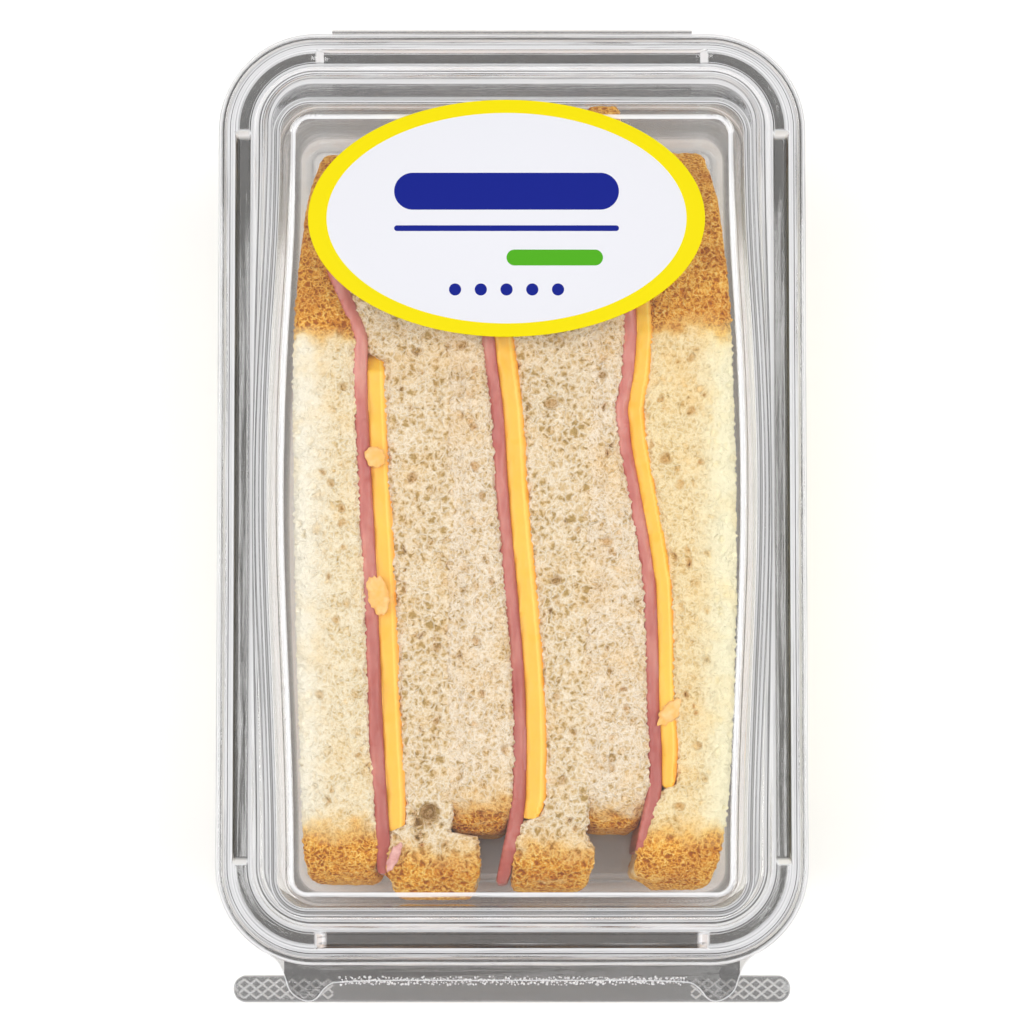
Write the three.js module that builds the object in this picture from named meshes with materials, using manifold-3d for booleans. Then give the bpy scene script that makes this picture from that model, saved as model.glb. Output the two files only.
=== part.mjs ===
// Three ham and cheese sandwich halves, cut faces up, in a clear hinged tray.
// Millimetres, +Z up. X runs across the pack, +Y points to the hinge, -Y to the opening tab.
import * as THREE from 'three';
import { mergeVertices } from 'three/addons/utils/BufferGeometryUtils.js';
import Module from 'manifold-3d';

const wasm = await Module();
wasm.setup();

// ---- driving dimensions -------------------------------------------------------------------

const clearance = 0.3;        // left between neighbours that touch
const sheet = 0.45;           // thickness of the clear sheet

const rim = {
  halfWidth: 47,              // outer edge of the flanges
  extraLength: 27.6,          // half length minus half width, the same for every ring
  cornerRadius: 15.5,
  centreY: -0.4,
  level: 35,                  // plane where tray and lid meet
};

const side = {
  bow: 1.8,                   // the long walls swell outwards by this at their middle
  bowStart: 41.7,             // half width where the swelling begins, full 3 mm further in
  lockInset: 0.8,             // length of the ramp at each end of a lock groove
};

const hinge = { reach: 0.5, radius: 0.3, halfLength: 29 };

const tab = {
  trayHalfWidth: 44.2,
  trayFront: -81,
  trayBack: -76.7,
  trayNeck: 36.2,
  lidFront: -80.9,
  lidMiddle: -77.6,
  lidThickness: 0.35,
};

const label = { halfWidth: 30.9, halfHeight: 18.6, x: -0.85, y: 40.9, thickness: 0.18 };

const food = { bottom: 1.4, top: 52, endRadius: 8 };
const endGap = 2.4;           // bread closes on the ham this far beyond an end of the cheese

// centre of the whole box, so that the origin lies under it
const backReach = rim.centreY + rim.halfWidth + rim.extraLength + hinge.reach + hinge.radius;
const frameShiftY = -(tab.trayFront + backReach) / 2;

// ---- small helpers ------------------------------------------------------------------------

const mix = (a, b, t) => a + (b - a) * t;

const ease = (from, to, value) => {
  const t = Math.min(Math.max((value - from) / (to - from), 0), 1);
  return t * t * (3 - 2 * t);
};

// A smooth function through [position, value] pairs given in rising order of position.
function curveThrough(pairs) {
  const slope = pairs.map((pair, i) => {
    const before = pairs[Math.max(i - 1, 0)];
    const after = pairs[Math.min(i + 1, pairs.length - 1)];
    return (after[1] - before[1]) / (after[0] - before[0]);
  });
  return (at) => {
    const inside = Math.min(Math.max(at, pairs[0][0]), pairs.at(-1)[0]);
    let i = 0;
    while (i < pairs.length - 2 && inside > pairs[i + 1][0]) i += 1;
    const [x0, y0] = pairs[i];
    const [x1, y1] = pairs[i + 1];
    const span = x1 - x0;
    const t = (inside - x0) / span;
    const bend0 = slope[i] * span;
    const bend1 = slope[i + 1] * span;
    const cubic = 2 * (y0 - y1) + bend0 + bend1;
    const square = 3 * (y1 - y0) - 2 * bend0 - bend1;
    return ((cubic * t + square) * t + bend0) * t + y0;
  };
}

// Repeatable unevenness between -1 and 1, from a few waves that don't share a period.
function crag(x, y, z, seed) {
  const a = Math.sin(x * 0.91 + y * 0.37 + seed * 2.3);
  const b = Math.sin(y * 1.13 - x * 0.53 + z * 0.41 + seed * 4.1);
  const c = Math.sin(z * 0.83 + y * 0.59 + x * 0.71 + seed * 1.7);
  return (a + b + c) / 3;
}

// One closed body from rings of points: the rings are skinned and the two ends are capped.
function skinRings(rings) {
  const count = rings[0].length;
  const positions = rings.flat().flatMap((point) => [point.x, point.y, point.z]);
  const index = [];
  for (let r = 0; r + 1 < rings.length; r += 1) {
    for (let i = 0; i < count; i += 1) {
      const j = (i + 1) % count;
      const a = r * count + i;
      const b = r * count + j;
      index.push(a, b, b + count, a, b + count, a + count);
    }
  }
  for (const [ring, flip] of [[0, false], [rings.length - 1, true]]) {
    const centre = new THREE.Vector3();
    rings[ring].forEach((point) => centre.addScaledVector(point, 1 / count));
    const middle = positions.length / 3;
    positions.push(centre.x, centre.y, centre.z);
    for (let i = 0; i < count; i += 1) {
      const a = ring * count + i;
      const b = ring * count + ((i + 1) % count);
      if (flip) index.push(a, b, middle);
      else index.push(b, a, middle);
    }
  }
  const geometry = new THREE.BufferGeometry();
  geometry.setAttribute('position', new THREE.Float32BufferAttribute(positions, 3));
  geometry.setIndex(index);
  geometry.computeVertexNormals();
  return geometry;
}

function toSolid(geometry) {
  const bare = geometry.clone();
  bare.deleteAttribute('normal');
  bare.deleteAttribute('uv');
  const merged = mergeVertices(bare, 1e-4);
  return new wasm.Manifold(new wasm.Mesh({
    numProp: 3,
    vertProperties: new Float32Array(merged.attributes.position.array),
    triVerts: new Uint32Array(merged.index.array),
  }));
}

function toGeometry(solid) {
  const mesh = solid.getMesh();
  const geometry = new THREE.BufferGeometry();
  geometry.setAttribute('position', new THREE.Float32BufferAttribute(mesh.vertProperties, 3));
  geometry.setIndex(Array.from(mesh.triVerts));
  geometry.computeVertexNormals();
  return geometry;
}

// ---- clear shells -------------------------------------------------------------------------

// Places round a shell, seen from above and anticlockwise. Each holds a corner's centre, the
// direction in which that ring point moves outwards, and how far the lock reaches there.
function placesRound() {
  const cx = rim.halfWidth - rim.cornerRadius;
  const cy = cx + rim.extraLength;
  const cornerSteps = 7;
  const longStops = [-1, -0.66, -0.33, 0, 0.33, 0.66, 1];
  const shortStops = [-1, -0.45, 0.45, 1];
  const places = [];
  const straight = (stops, half, place) => {
    stops.forEach((share) => places.push(place(share * (half - side.lockInset))));
  };
  const corner = (sx, sy, from) => {
    for (let i = 0; i <= cornerSteps; i += 1) {
      const angle = from + (i / cornerSteps) * (Math.PI / 2);
      const out = [Math.cos(angle), Math.sin(angle)];
      places.push({ x: sx * cx, y: sy * cy, out, lock: 0, back: 0, swell: 0 });
    }
  };
  const swell = (y) => Math.cos((y / cy) * (Math.PI / 2)) ** 2;
  straight(longStops, cy, (y) => ({ x: cx, y, out: [1, 0], lock: 1, back: 0, swell: swell(y) }));
  corner(1, 1, 0);
  straight(shortStops, cx, (x) => ({ x: -x, y: cy, out: [0, 1], lock: 0, back: 1, swell: 0 }));
  corner(-1, 1, Math.PI / 2);
  straight(longStops, cy, (y) => ({ x: -cx, y: -y, out: [-1, 0], lock: 1, back: 0, swell: swell(y) }));
  corner(-1, -1, Math.PI);
  straight(shortStops, cx, (x) => ({ x, y: -cy, out: [0, -1], lock: 1, back: 0, swell: 0 }));
  corner(1, -1, Math.PI * 1.5);
  return places;
}

// The profile [half width, height] moved sideways by a distance, square to its own run.
function offsetProfile(profile, distance) {
  return profile.map(([h, z], i) => {
    const before = profile[Math.max(i - 1, 0)];
    const after = profile[Math.min(i + 1, profile.length - 1)];
    const normals = [[before, [h, z]], [[h, z], after]]
      .filter(([a, b]) => a[0] !== b[0] || a[1] !== b[1])
      .map(([a, b]) => {
        const length = Math.hypot(b[0] - a[0], b[1] - a[1]);
        return [(b[1] - a[1]) / length, (a[0] - b[0]) / length];
      });
    const nx = normals.reduce((sum, n) => sum + n[0], 0) / normals.length;
    const nz = normals.reduce((sum, n) => sum + n[1], 0) / normals.length;
    const reach = distance / Math.max(nx * nx + nz * nz, 0.5);
    return [h + nx * reach, z + nz * reach];
  });
}

// A shell from its centre line. profileAt gives the centre line for one place of the ring.
function shellGeometry(profileAt) {
  const places = placesRound();
  const ringPoint = (place, [h, z]) => {
    const radius = h - (rim.halfWidth - rim.cornerRadius);
    const swollen = side.bow * ease(side.bowStart, side.bowStart - 3, h) * place.swell;
    return new THREE.Vector3(
      place.x + place.out[0] * (radius + swollen),
      place.y + place.out[1] * radius + rim.centreY,
      z,
    );
  };
  const upper = places.map((place) => offsetProfile(profileAt(place), sheet / 2));
  const lower = places.map((place) => offsetProfile(profileAt(place), -sheet / 2));
  const steps = upper[0].length;
  const rings = [];
  for (let s = steps - 1; s >= 0; s -= 1) {
    rings.push(places.map((place, i) => ringPoint(place, lower[i][s])));
  }
  for (let s = 0; s < steps; s += 1) {
    rings.push(places.map((place, i) => ringPoint(place, upper[i][s])));
  }
  return skinRings(rings);
}

// A flat plate with the outline of a shape, between two heights.
function plate(shape, bottom, top, curveSegments = 8) {
  const geometry = new THREE.ExtrudeGeometry(shape, {
    depth: top - bottom,
    bevelEnabled: false,
    curveSegments,
  });
  return geometry.translate(0, 0, bottom);
}

const flangeMiddle = { tray: rim.level - (clearance + sheet) / 2, lid: rim.level + (clearance + sheet) / 2 };

// From the flange's edge down the stepped walls to the foot ring and the raised floor.
function trayProfile() {
  const flange = flangeMiddle.tray;
  const wall = [
    [47.0, flange], [44.9, flange], [44.6, flange - 0.9], [42.0, flange - 0.9],
    [41.2, 32.7], [40.3, 27.2], [39.3, 26.3], [38.6, 17.5], [37.9, 16.7], [37.2, 7.0],
    [36.6, 3.2], [35.4, 0.75],
  ];
  const foot = sheet / 2;
  return [...wall, [34.2, foot], [32.9, foot], [32.3, foot + 0.6]];
}

// From the flange's edge over the bead and the lock groove, up the stepped walls to the rim
// round the top panel. The groove is deep along the locks, shallow at the hinge, and filled
// at the corners.
function lidProfile(place) {
  const flange = flangeMiddle.lid;
  const bead = flange + 1.9;
  const groove = bead - (bead - (flange - 0.65)) * place.lock - 1.1 * place.back;
  return [
    [47.0, flange], [45.9, flange], [45.5, bead - 0.2], [44.5, bead], [43.9, groove],
    [42.1, groove], [41.7, bead + 1.3], [41.2, 39.9], [39.4, 40.5], [38.7, 46.5],
    [37.9, 47.3], [37.3, 55.5], [36.6, 58.9], [35.4, 60.4], [34.4, 60.4], [33.6, 59.9],
  ];
}

// The tray's tab: a bar with round ends that reach past the neck at both sides.
function trayTabShape() {
  const radius = (tab.trayBack - tab.trayFront) / 2;
  const end = tab.trayHalfWidth - radius;
  const middle = tab.trayFront + radius;
  const root = -73.6;         // inside the flange
  const shape = new THREE.Shape();
  shape.moveTo(tab.trayNeck, root);
  shape.lineTo(-tab.trayNeck, root);
  shape.lineTo(-tab.trayNeck, tab.trayBack);
  shape.absarc(-end, middle, radius, Math.PI / 2, Math.PI * 1.5, false);
  shape.absarc(end, middle, radius, -Math.PI / 2, Math.PI / 2, false);
  shape.lineTo(tab.trayNeck, tab.trayBack);
  return shape;
}

// The lid's tab: it flows out of the rim's corners into two lobes, with a straight edge
// set back between them.
function lidTabShape() {
  const cx = rim.halfWidth - rim.cornerRadius;
  const cy = rim.centreY - cx - rim.extraLength;
  const inside = rim.cornerRadius - 0.5;
  const turn = 0.98;          // radians round the corner where the neck leaves the rim
  const shape = new THREE.Shape();
  shape.moveTo(-cx - inside * Math.cos(turn), cy - inside * Math.sin(turn));
  shape.quadraticCurveTo(-37.3, -74.0, -35.9, -76.6);
  shape.quadraticCurveTo(-35.2, tab.lidFront, -32.0, tab.lidFront);
  shape.quadraticCurveTo(-30.6, tab.lidFront, -28.0, tab.lidMiddle);
  shape.lineTo(28.0, tab.lidMiddle);
  shape.quadraticCurveTo(30.6, tab.lidFront, 32.0, tab.lidFront);
  shape.quadraticCurveTo(35.2, tab.lidFront, 35.9, -76.6);
  shape.quadraticCurveTo(37.3, -74.0, cx + inside * Math.cos(turn), cy - inside * Math.sin(turn));
  shape.absarc(cx, cy, inside, -turn, -Math.PI / 2, true);
  shape.absarc(-cx, cy, inside, -Math.PI / 2, turn - Math.PI + 0.05, true);
  return shape;
}

// The hinge: a thin round bead along the back, on a web from the tray's flange.
function hingeSolid() {
  const edge = rim.centreY + rim.halfWidth + rim.extraLength;
  const bead = new THREE.CylinderGeometry(hinge.radius, hinge.radius, hinge.halfLength * 2, 12);
  bead.rotateZ(Math.PI / 2).translate(0, edge + hinge.reach, rim.level);
  const web = new THREE.BoxGeometry(hinge.halfLength * 2 - 1, hinge.reach + 0.4, sheet - 0.1);
  web.translate(0, edge + (hinge.reach - 0.4) / 2, flangeMiddle.tray);
  return toSolid(bead).add(toSolid(web));
}

function trayGeometry() {
  const shell = toSolid(shellGeometry(trayProfile));
  const middle = flangeMiddle.tray;
  const half = tab.lidThickness / 2;
  const tongue = toSolid(plate(trayTabShape(), middle - half, middle + half));
  return toGeometry(shell.add(tongue).add(hingeSolid()));
}

function lidGeometry() {
  const shell = toSolid(shellGeometry(lidProfile));
  const middle = flangeMiddle.lid;
  const half = tab.lidThickness / 2;
  const tongue = toSolid(plate(lidTabShape(), middle - half, middle + half, 6));
  return toGeometry(shell.add(tongue));
}

function labelGeometry() {
  const oval = new THREE.Shape();
  oval.absellipse(label.x, label.y, label.halfWidth, label.halfHeight, 0, Math.PI * 2, false, 0);
  const bottom = lidProfile({ lock: 0, back: 0 }).at(-1)[1] + sheet / 2 + clearance;
  return plate(oval, bottom, bottom + label.thickness, 24);
}

// ---- sandwiches ---------------------------------------------------------------------------

// A piece is lofted along Y. left and right give its faces, top and bottom its edges, and
// section lists the points round it as [share of width, share of height, in X, in Z], the
// last two in millimetres.
function loftPiece({ stations, left, right, top, bottom, section, rough, seed }) {
  const rings = stations.map((y) => section.map(([across, up, inX, inZ]) => {
    const x = mix(left(y), right(y), across) + inX;
    const z = mix(bottom(y), top(y), up) + inZ;
    const lift = rough * crag(x, y, z, seed) * ease(0.5, 1, up);
    return new THREE.Vector3(x, y, z + lift);
  }));
  return skinRings(rings);
}

// Round a box, starting at the lower left and turning so that the faces point outwards
// when the stations run towards +Y.
function boxSection(corner, topSteps, sideSteps) {
  const section = [];
  const run = (count, place) => {
    for (let i = 0; i <= count; i += 1) section.push(place(i / count));
  };
  run(topSteps, (t) => [t, 1, mix(corner, -corner, t), 0]);
  run(sideSteps, (t) => [1, 1 - t, 0, mix(-corner, corner, t)]);
  run(1, (t) => [1 - t, 0, mix(-corner, corner, t), 0]);
  run(sideSteps, (t) => [0, t, 0, mix(corner, -corner, t)]);
  return section;
}

// Places along Y where the faces may bend. Neighbours share them, so their faces stay parallel.
const bendsAlong = [-66, -57, -49, -41, -33, -25, -16, -8, 0, 6, 12, 18, 24, 34, 45, 56, 66];

function bendsOf(sandwich) {
  const { front, back } = sandwich.cheese;
  const own = [front - endGap, front, back, back + endGap];
  const shared = bendsAlong.filter((y) => own.every((stop) => Math.abs(stop - y) > 1));
  return [...shared, ...own].sort((a, b) => a - b);
}

// The same function drawn with straight runs between the bends.
function straightened(curve, bends) {
  return (at) => {
    let i = 0;
    while (i < bends.length - 2 && at > bends[i + 1]) i += 1;
    const t = (at - bends[i]) / (bends[i + 1] - bends[i]);
    return mix(curve(bends[i]), curve(bends[i + 1]), t);
  };
}

// Stations at every bend, and more of them round both ends.
function stationsOf(front, back, frontRadius, backRadius, bends, steps) {
  const round = [front, back];
  for (let i = 1; i < steps; i += 1) {
    const angle = (i / steps) * (Math.PI / 2);
    round.push(front + frontRadius * (1 - Math.cos(angle)));
    round.push(back - backRadius * (1 - Math.sin(angle)));
  }
  const middle = bends.filter((y) => y > front + 0.3 && y < back - 0.3);
  const spare = round.filter((y) => middle.every((stop) => Math.abs(stop - y) > 0.5));
  return [...middle, ...spare].sort((a, b) => a - b);
}

// Height of a slice's upper edge along Y: a flat cut face, a round crust corner at the
// front and the long sloping shoulder of the loaf's top crust at the back.
function upperEdge({ front, back, shoulder, drop, top }) {
  const radius = food.endRadius;
  return (y) => {
    const intoFront = Math.max(front + radius - y, 0) / radius;
    const intoBack = Math.max(y - shoulder, 0) / (back - shoulder);
    const fallFront = radius * (1 - Math.sqrt(Math.max(1 - intoFront ** 2, 0)));
    const fallBack = drop * (1 - Math.sqrt(Math.max(1 - intoBack ** 2, 0)));
    return top - fallFront - fallBack;
  };
}

function lowerEdge({ front, back }) {
  const radius = food.endRadius;
  return (y) => {
    const into = Math.max(front + radius - y, y - back + radius, 0) / radius;
    return food.bottom + radius * (1 - Math.sqrt(Math.max(1 - into ** 2, 0)));
  };
}

// What each sandwich is made from. seam is the ham's left face along Y as [y, x]; hams and
// cheeses are upright sheets of an even thickness between two slices of bread.
const sandwiches = [
  {
    seam: [[-60.6, -20.7], [-46.7, -21.8], [-33.5, -22.5], [-14.0, -23.3], [5.0, -24.4],
      [17.1, -24.9], [24.3, -25.0], [33.7, -29.0], [43.0, -27.0], [56.0, -24.0]],
    hamThickness: 1.9,
    cheeseThickness: 2.75,
    ham: { front: -60.6, back: 46 },
    cheese: { front: -54.2, back: 22.7 },
  },
  {
    seam: [[-62.2, -3.2], [-57.0, -1.3], [-49.3, 0.0], [-33.5, 0.0], [-17.4, -1.2],
      [-2.5, -2.6], [12.2, -3.5], [23.0, -4.9], [40.0, -5.6], [56.0, -5.0]],
    hamThickness: 1.9,
    cheeseThickness: 3.0,
    ham: { front: -62.2, back: 50 },
    cheese: { front: -52.0, back: 46 },
  },
  {
    seam: [[-57.0, 19.4], [-52.3, 20.4], [-46.0, 21.4], [-33.0, 20.9], [-15.8, 20.5],
      [0.9, 17.7], [11.5, 16.1], [21.5, 17.6], [34.0, 17.0], [56.0, 17.6]],
    hamThickness: 1.9,
    cheeseThickness: 2.3,
    ham: { front: -57.0, back: 49 },
    cheese: { front: -47.3, back: 44 },
  },
];

// Outer faces of the slices, as [y, x], and each slice's own lengths and heights.
const slices = [
  { front: -62.0, back: 56.5, shoulder: 23, drop: 31, top: 52.0,
    face: [[-62, -31.9], [-44, -32.6], [-10, -33.6], [25, -33.8], [45, -32.6], [56.5, -30.4]] },
  { front: -64.4, back: 57.5, shoulder: 31, drop: 29, top: 51.2,
    face: [[-64.4, -6.2], [-57.4, -5.5], [-54.9, -9.9], [-49, -10.2], [-10, -9.6], [57, -9.8]] },
  { front: -54.4, back: 64.3, shoulder: 36, drop: 27, top: 52.8,
    face: [[-54.4, -9.6], [-46, -9.6], [-10, -9.0], [64, -9.2]] },
  { front: -63.2, back: 57.5, shoulder: 32, drop: 29, top: 51.5,
    face: [[-63.2, 11.7], [-56.8, 12.5], [-54.2, 11.0], [-38, 11.4], [-20, 12.0], [57, 11.6]] },
  { front: -53.8, back: 64.0, shoulder: 36, drop: 27, top: 52.4,
    face: [[-53.8, 11.7], [-38, 12.0], [-20, 12.6], [64, 12.2]] },
  { front: -62.8, back: 56.8, shoulder: 24, drop: 31, top: 52.0,
    face: [[-62.8, 31.0], [-52.3, 33.0], [-33, 34.2], [-10, 34.7], [25, 34.0], [45, 32.8], [56.8, 30.6]] },
];

// How far a slice's faces are drawn in at its own ends, which rounds its corners from above.
function drawIn(slice, radius) {
  return (y) => {
    const into = Math.max(slice.front + radius - y, y - slice.back + radius, 0) / radius;
    return radius * 0.5 * (1 - Math.sqrt(Math.max(1 - into ** 2, 0)));
  };
}

const bread = { topSteps: 4, sideSteps: 2, corner: 0.7, rough: 0.45, ends: 2.2, endSteps: 5 };
const leaf = { corner: 0.25, rough: 0.12, endRadius: 2.5, inset: 0.5, endSteps: 3 };

function breadGeometry(number) {
  const slice = slices[number];
  const sandwich = sandwiches[Math.floor(number / 2)];
  const bends = bendsOf(sandwich);
  const seam = curveThrough(sandwich.seam);
  const outer = curveThrough(slice.face);
  const pull = drawIn(slice, bread.ends);
  const onLeft = number % 2 === 0;
  const besideCheese = (y) => {
    const { front, back } = sandwich.cheese;
    return ease(front - endGap, front, y) * ease(back + endGap, back, y);
  };
  const inner = straightened((y) => (onLeft
    ? seam(y) - clearance
    : seam(y) + sandwich.hamThickness + clearance
      + besideCheese(y) * (sandwich.cheeseThickness + clearance)), bends);
  return loftPiece({
    stations: stationsOf(slice.front, slice.back, food.endRadius, slice.back - slice.shoulder,
      bends, bread.endSteps),
    left: (y) => (onLeft ? outer(y) : inner(y)) + pull(y),
    right: (y) => (onLeft ? inner(y) : outer(y)) - pull(y),
    top: upperEdge(slice),
    bottom: lowerEdge(slice),
    section: boxSection(bread.corner, bread.topSteps, bread.sideSteps),
    rough: bread.rough,
    seed: number + 1,
  });
}

// Ham and cheese: sheets that follow the seam and stop just under the bread's upper edge.
function leafGeometry(number, kind) {
  const sandwich = sandwiches[number];
  const bends = bendsOf(sandwich);
  const seam = straightened(curveThrough(sandwich.seam), bends);
  const isHam = kind === 'ham';
  const start = isHam ? 0 : sandwich.hamThickness + clearance;
  const thickness = isHam ? sandwich.hamThickness : sandwich.cheeseThickness;
  const { front, back } = sandwich[kind];
  const beside = upperEdge(slices[number * 2 + (isHam ? 0 : 1)]);
  const behind = upperEdge(slices[number * 2 + 1]);
  const nearFront = (y) => ease(front, front + leaf.endRadius, y);
  const nearBack = (y) => ease(back, back - leaf.endRadius * 2, y);
  return loftPiece({
    stations: stationsOf(front, back, leaf.endRadius, leaf.endRadius * 2, bends, leaf.endSteps),
    left: (y) => seam(y) + start,
    right: (y) => seam(y) + start + thickness * mix(0.7, 1, nearFront(y) * nearBack(y)),
    top: (y) => Math.min(Math.max(beside(y), behind(y)), food.top)
      - leaf.inset - 3 * (1 - nearBack(y)),
    bottom: (y) => food.bottom + 2 + 4 * (1 - nearFront(y)) + 4 * (1 - nearBack(y)),
    section: boxSection(leaf.corner, 1, 1),
    rough: leaf.rough,
    seed: number + (isHam ? 11 : 21),
  });
}

// ---- the model ----------------------------------------------------------------------------

const finishes = {
  clear: { color: 0xe9eef0, roughness: 0.08, metalness: 0, transparent: true, opacity: 0.3 },
  label: { color: 0xf7e300, roughness: 0.35, metalness: 0 },
  bread: { color: 0xe9d8b0, roughness: 0.9, metalness: 0 },
  ham: { color: 0xd0817f, roughness: 0.4, metalness: 0 },
  cheese: { color: 0xfcc552, roughness: 0.45, metalness: 0 },
};

const model = new THREE.Group();
model.position.y = frameShiftY;

function addPiece(name, geometry, finish) {
  const mesh = new THREE.Mesh(geometry, new THREE.MeshStandardMaterial(finishes[finish]));
  mesh.name = name;
  model.add(mesh);
}

addPiece('tray', trayGeometry(), 'clear');
addPiece('lid', lidGeometry(), 'clear');
addPiece('label', labelGeometry(), 'label');
slices.forEach((slice, i) => addPiece(`bread_${i + 1}`, breadGeometry(i), 'bread'));
sandwiches.forEach((sandwich, i) => addPiece(`ham_${i + 1}`, leafGeometry(i, 'ham'), 'ham'));
sandwiches.forEach((sandwich, i) => {
  addPiece(`cheese_${i + 1}`, leafGeometry(i, 'cheese'), 'cheese');
});

export default model;
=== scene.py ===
import bpy
import math
import random
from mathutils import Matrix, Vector, kdtree, noise


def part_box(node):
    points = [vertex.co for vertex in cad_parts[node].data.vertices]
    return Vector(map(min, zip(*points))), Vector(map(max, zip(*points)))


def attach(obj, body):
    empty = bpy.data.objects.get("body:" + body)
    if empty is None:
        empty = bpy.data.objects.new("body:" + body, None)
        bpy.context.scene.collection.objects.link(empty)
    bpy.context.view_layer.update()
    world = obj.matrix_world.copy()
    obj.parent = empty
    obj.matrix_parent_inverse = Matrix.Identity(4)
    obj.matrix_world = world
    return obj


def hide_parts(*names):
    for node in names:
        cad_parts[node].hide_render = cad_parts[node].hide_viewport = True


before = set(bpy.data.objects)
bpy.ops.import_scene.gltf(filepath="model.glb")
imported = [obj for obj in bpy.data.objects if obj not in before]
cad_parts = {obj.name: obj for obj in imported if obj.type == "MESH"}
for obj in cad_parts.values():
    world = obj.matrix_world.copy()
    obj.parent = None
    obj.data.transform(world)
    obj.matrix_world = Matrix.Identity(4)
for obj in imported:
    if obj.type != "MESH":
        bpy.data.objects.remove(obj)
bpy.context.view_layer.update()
mm = 0.001


# small helpers

def onlySelect(piece):
    bpy.ops.object.select_all(action="DESELECT")
    piece.select_set(True)
    bpy.context.view_layer.objects.active = piece


def applyAll(piece):
    onlySelect(piece)
    for modifier in list(piece.modifiers):
        bpy.ops.object.modifier_apply(modifier=modifier.name)


def settle():
    # place, turn and scale of the selected objects go into their meshes
    bpy.ops.object.transform_apply(location=True, rotation=True, scale=True)


def sized(name, scale):
    # names the object just made, and gives its mesh that scale
    piece = bpy.context.object
    piece.name = name
    piece.scale = scale
    settle()
    return piece


def editing(piece):
    onlySelect(piece)
    bpy.ops.object.mode_set(mode="EDIT")


def doneEditing():
    bpy.ops.object.mode_set(mode="OBJECT")


def selectFaces(piece, wanted):
    # leaves the piece in edit mode with just those faces selected
    onlySelect(piece)
    bpy.context.tool_settings.mesh_select_mode = (False, False, True)
    for group in (piece.data.vertices, piece.data.edges):
        group.foreach_set("select", [False] * len(group))
    piece.data.polygons.foreach_set("select", [wanted(face) for face in piece.data.polygons])
    bpy.ops.object.mode_set(mode="EDIT")


def joined(pieces, name):
    onlySelect(pieces[0])
    for piece in pieces:
        piece.select_set(True)
    bpy.ops.object.join()
    pieces[0].name = name
    return pieces[0]


def united(piece, other):
    union = piece.modifiers.new("union", "BOOLEAN")
    union.operation = "UNION"
    union.solver = "MANIFOLD"
    union.object = other
    applyAll(piece)
    bpy.data.objects.remove(other)


def closedOutwards():
    bpy.ops.mesh.select_all(action="SELECT")
    bpy.ops.mesh.normals_make_consistent(inside=False)
    doneEditing()


def writeAttribute(piece, name, values):
    attribute = piece.data.attributes.new(name, "FLOAT", "POINT")
    attribute.data.foreach_set("value", values)


def ease(start, end, value):
    # 0 at start and 1 at end, with a smooth run between
    t = min(1, max(0, (value - start) / (end - start)))
    return t * t * (3 - 2 * t)


# camera, as the photograph: almost straight down, tipped a little towards the tab

view = {"tilt": 4.7, "distance": 0.8, "lens": 175.8, "aim": Vector((0, 0.0001, 0.035))}


def addCamera():
    tilt = math.radians(view["tilt"])
    place = view["aim"] + Vector((0, -math.sin(tilt), math.cos(tilt))) * view["distance"]
    bpy.ops.object.camera_add(location=place, rotation=(tilt, 0, 0))
    camera = bpy.context.object
    camera.name = "camera"
    camera.data.lens = view["lens"]
    camera.data.clip_end = 20
    bpy.context.scene.camera = camera
    print("camera ready")


# floor and light

studio = {"floorSize": 6, "floorColour": (0.95, 0.95, 0.95, 1), "floorRoughness": 0.9, "world": 0.38,
          "sideSize": (0.42, 1.1), "sidePower": 6.6, "sidePlace": (0.62, 0.0, 1.0),
          "endSize": (0.9, 0.4), "endPower": 1.9, "endPlace": (0, 1.0, 0.9)}


def addLight(name, place, size, power):
    bpy.ops.object.light_add(type="AREA", location=place)
    lamp = bpy.context.object
    lamp.name = name
    lamp.data.shape = "RECTANGLE"
    lamp.data.size, lamp.data.size_y = size
    lamp.data.energy = power
    aim = Vector((0, 0, 0.03)) - Vector(place)
    lamp.rotation_euler = aim.to_track_quat("-Z", "Y").to_euler()


def addStudio():
    scene = bpy.context.scene
    scene.view_settings.view_transform = "Standard"
    scene.cycles.max_bounces = 10
    scene.cycles.transparent_max_bounces = 32
    scene.cycles.transmission_bounces = 4
    scene.cycles.glossy_bounces = 3
    scene.cycles.caustics_reflective = False
    scene.cycles.caustics_refractive = False
    scene.cycles.use_denoising = True
    world = bpy.data.worlds.new("studio")
    scene.world = world
    world.use_nodes = True
    grey = studio["world"]
    world.node_tree.nodes["Background"].inputs["Color"].default_value = (grey, grey, grey, 1)
    bpy.ops.object.select_all(action="DESELECT")
    bpy.ops.mesh.primitive_plane_add(size=studio["floorSize"], location=(0, 0, 0))
    floor = bpy.context.object
    floor.name = "floor"
    surface, tree, base = newMaterial("floorPaper")
    base.inputs["Base Color"].default_value = studio["floorColour"]
    base.inputs["Roughness"].default_value = studio["floorRoughness"]
    floor.data.materials.append(surface)
    x, y, z = studio["sidePlace"]
    addLight("leftBox", (-x, y, z), studio["sideSize"], studio["sidePower"])
    addLight("rightBox", (x, y, z), studio["sideSize"], studio["sidePower"])
    x, y, z = studio["endPlace"]
    addLight("backBox", (x, y, z), studio["endSize"], studio["endPower"])
    addLight("frontBox", (x, -y, z), studio["endSize"], studio["endPower"])
    print("studio ready")


def newMaterial(name):
    material = bpy.data.materials.new(name)
    material.use_nodes = True
    return material, material.node_tree, material.node_tree.nodes["Principled BSDF"]


def setSurface(base, colour, roughness, normal):
    base.id_data.links.new(colour, base.inputs["Base Color"])
    base.id_data.links.new(normal, base.inputs["Normal"])
    base.inputs["Roughness"].default_value = roughness


def setSubsurface(base, weight, radius, scale):
    base.inputs["Subsurface Weight"].default_value = weight
    base.inputs["Subsurface Radius"].default_value = radius
    base.inputs["Subsurface Scale"].default_value = scale


# shader nodes

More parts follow.
